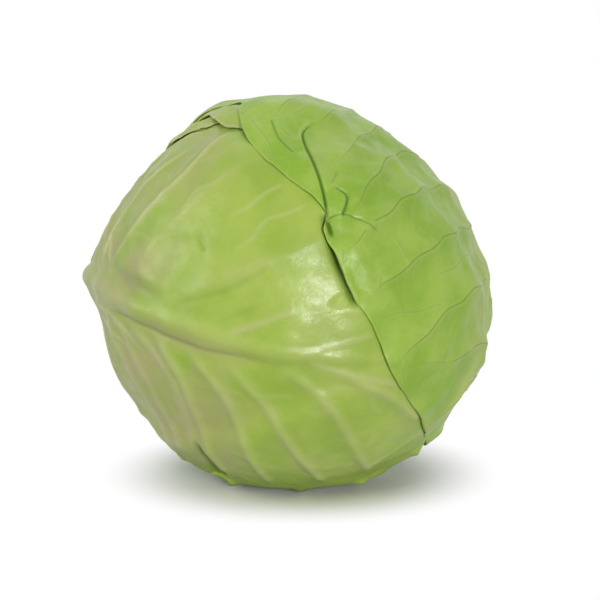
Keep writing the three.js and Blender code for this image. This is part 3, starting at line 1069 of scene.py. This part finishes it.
# The cut stem: a spun plug, fluted by its leaf bases, a little out of round
def buildStem():
    profile, steps = np.array(stem["profile"], float), stem["steps"]
    place = np.linspace(0, len(profile) - 1, stem["cuts"] * (len(profile) - 1) + 1)
    reaches, heights = [np.interp(place, np.arange(len(profile)), column) for column in profile.T]
    turns = np.linspace(0, 2 * math.pi, steps, endpoint=False)
    circle = np.stack([np.cos(turns), np.sin(turns), np.zeros(steps)], 1)
    rings = [circle * reach + (0, 0, up) for reach, up in zip(reaches[1:-1], heights[1:-1])]
    local = np.vstack([(0, 0, heights[0]), *rings, (0, 0, heights[-1])])
    last = len(local) - 1
    faces = []
    for here in range(steps):
        after = (here + 1) % steps
        faces.append((0, 1 + here, 1 + after))
        for low in range(1, last - steps, steps):
            high = low + steps
            faces.append((low + here, high + here, high + after, low + after))
        faces.append((last, last - steps + after, last - steps + here))
    mesh = bpy.data.meshes.new("stem")
    mesh.from_pydata(local.tolist(), [], faces)
    across = np.hypot(local[:, 0], local[:, 1])
    turn = np.arctan2(local[:, 1], local[:, 0])
    outer = smoothStep(across, 6, 13)
    flutes = stem["fluteDepth"] * np.abs(np.sin(turn * stem["flutes"] / 2 + 0.3 * np.sin(turn)))
    shape = 1 + outer * (0.025 * np.sin(2 * turn + 1.1) + 0.018 * np.sin(3 * turn) - 0.02 - flutes / 13)
    local[:, :2] *= shape[:, None]
    local[:, 2] += 0.12 * np.sin(local[:, 0] * 0.7) * np.cos(local[:, 1] * 0.6) * (local[:, 2] > 7)
    side = np.cross(stemAim, (0, 0, 1))
    side /= np.linalg.norm(side)
    upward = np.cross(side, stemAim)
    foot = heartHeight(stemAim[None], False)[0] + stem["clearance"]
    points = local[:, :1] * side + local[:, 1:2] * upward + (local[:, 2:] + foot) * stemAim
    setAttribute(mesh, "stemMap", local)
    addPiece("stem_plug", mesh, points, stemMaterial(), "stem")


# The stem's finish: dry cut face with a woody ring round the pith, pale green side with brown scars
def stemMaterial():
    material, tree, shader = newMaterial("cutStem")
    spot = attribute(tree, "stemMap", "Vector")
    parts = tree.nodes.new("ShaderNodeSeparateXYZ")
    tree.links.new(spot, parts.inputs[0])
    flat = vectorMath(tree, "MULTIPLY", spot, (1, 1, 0))
    length = vectorMath(tree, "LENGTH", flat.outputs["Vector"])
    broad = noiseAt(tree, spot, 0.35, 3)
    fine = noiseAt(tree, spot, 1.6, 3, 0.6)
    across = calc(tree, "ADD", length.outputs["Value"], remap(tree, broad, 0.3, 0.7, -0.9, 0.9))
    cutFace = remap(tree, parts.outputs["Z"], 7.9, 8.3)
    pith = mixColour(tree, remap(tree, fine, 0.35, 0.65), (0.66, 0.64, 0.40, 1), (0.55, 0.54, 0.28, 1))
    face = mixColour(tree, remap(tree, across, 6.2, 7.6), pith, (0.60, 0.52, 0.27, 1))
    face = mixColour(tree, remap(tree, across, 9.0, 10.2), face, (0.50, 0.52, 0.24, 1))
    dry = product(tree, remap(tree, broad, 0.45, 0.62), 0.55)
    face = mixColour(tree, dry, face, (0.34, 0.22, 0.10, 1))
    skin = mixColour(tree, remap(tree, broad, 0.35, 0.65), (0.56, 0.60, 0.28, 1), (0.44, 0.46, 0.20, 1))
    skin = mixColour(tree, remap(tree, fine, 0.56, 0.68, 0.0, 0.6), skin, (0.30, 0.22, 0.10, 1))
    tree.links.new(mixColour(tree, cutFace, skin, face), shader.inputs["Base Color"])
    tree.links.new(remap(tree, fine, 0.3, 0.7, 0.55, 0.8), shader.inputs["Roughness"])
    addBump(tree, shader, 0.7, product(tree, fine, 0.4))
    return material


buildStem()

shot = {"elevation": 12, "distance": 0.622, "lens": 88.6, "aside": 0.00445, "up": -0.0032}
toward = Vector(aim(0, shot["elevation"]))
across = Vector((1, 0, 0))
upward = toward.cross(across)
cameraData = bpy.data.cameras.new("camera")
cameraData.lens = shot["lens"]
cameraData.sensor_width = 36
cameraData.clip_start = 0.01
camera = addObject("camera", cameraData)
camera.location = Vector(headCentre) + toward * shot["distance"]
camera.location += across * shot["aside"] + upward * shot["up"]
camera.rotation_euler = toward.to_track_quat("Z", "Y").to_euler()
scene.camera = camera

shadow = {
    "size": (0.088, 0.069),  # half the width and depth of the part of the floor that shows the shadow
    "shift": -0.07,  # sideways, as a share of that width
}


# 1 for the rays that show a surface, 0 for those that only light one
def showing(tree, path):
    seen = calc(tree, "MAXIMUM", path.outputs["Is Camera Ray"], path.outputs["Is Glossy Ray"])
    return calc(tree, "MAXIMUM", seen, path.outputs["Is Transmission Ray"])


# A pale floor that turns plain white beyond the shadow
def floorMaterial():
    material, tree, shader = newMaterial("paleFloor")
    shader.inputs["Roughness"].default_value = 0.8
    shader.inputs["Specular IOR Level"].default_value = 0.2
    path = tree.nodes.new("ShaderNodeLightPath")
    seen = path.outputs["Is Camera Ray"]
    colour = mixColour(tree, seen, (0.5, 0.5, 0.5, 1), (1.0, 0.985, 0.99, 1))
    tree.links.new(colour, shader.inputs["Base Color"])
    place = tree.nodes.new("ShaderNodeTexCoord").outputs["Object"]
    width, depth = shadow["size"]
    spot = vectorMath(tree, "MULTIPLY_ADD", place, (1 / width, 1 / depth, 0), (shadow["shift"], 0, 0))
    reach = vectorMath(tree, "LENGTH", spot.outputs["Vector"])
    share = product(tree, remap(tree, reach.outputs["Value"], 0.5, 1.0), showing(tree, path))
    glow = tree.nodes.new("ShaderNodeEmission")
    mix = tree.nodes.new("ShaderNodeMixShader")
    feed(tree, mix, {"Fac": share, 1: shader.outputs["BSDF"], 2: glow.outputs["Emission"]})
    tree.links.new(mix.outputs["Shader"], tree.nodes["Material Output"].inputs["Surface"])
    return material


bpy.ops.mesh.primitive_plane_add(size=240, location=(0, 0, 0))
floor = bpy.context.object
floor.name = "floor"
floor.data.materials.append(floorMaterial())

world = bpy.data.worlds.new("studio")
scene.world = world
world.use_nodes = True
worldTree = world.node_tree
background = worldTree.nodes["Background"]
seen = showing(worldTree, worldTree.nodes.new("ShaderNodeLightPath"))
background.inputs["Color"].default_value = (1, 1, 1, 1)
worldTree.links.new(remap(worldTree, seen, 0, 1, 0.22, 1.0, False), background.inputs["Strength"])


def softSun(name, azimuth, elevation, spread, strength):
    data = bpy.data.lights.new(name, "SUN")
    data.angle = math.radians(spread)
    data.energy = strength * math.pi
    lamp = addObject(name, data)
    away = Vector(aim(azimuth, elevation))
    lamp.location = Vector(headCentre) + away
    lamp.rotation_euler = away.to_track_quat("Z", "Y").to_euler()


softSun("keyLight", 20, 13, 20, 0.59)
softSun("leftLight", -80, 22, 40, 0.34)
softSun("backLight", 165, 48, 50, 0.15)

scene.view_settings.view_transform = "Standard"
print("camera, floor and light set")
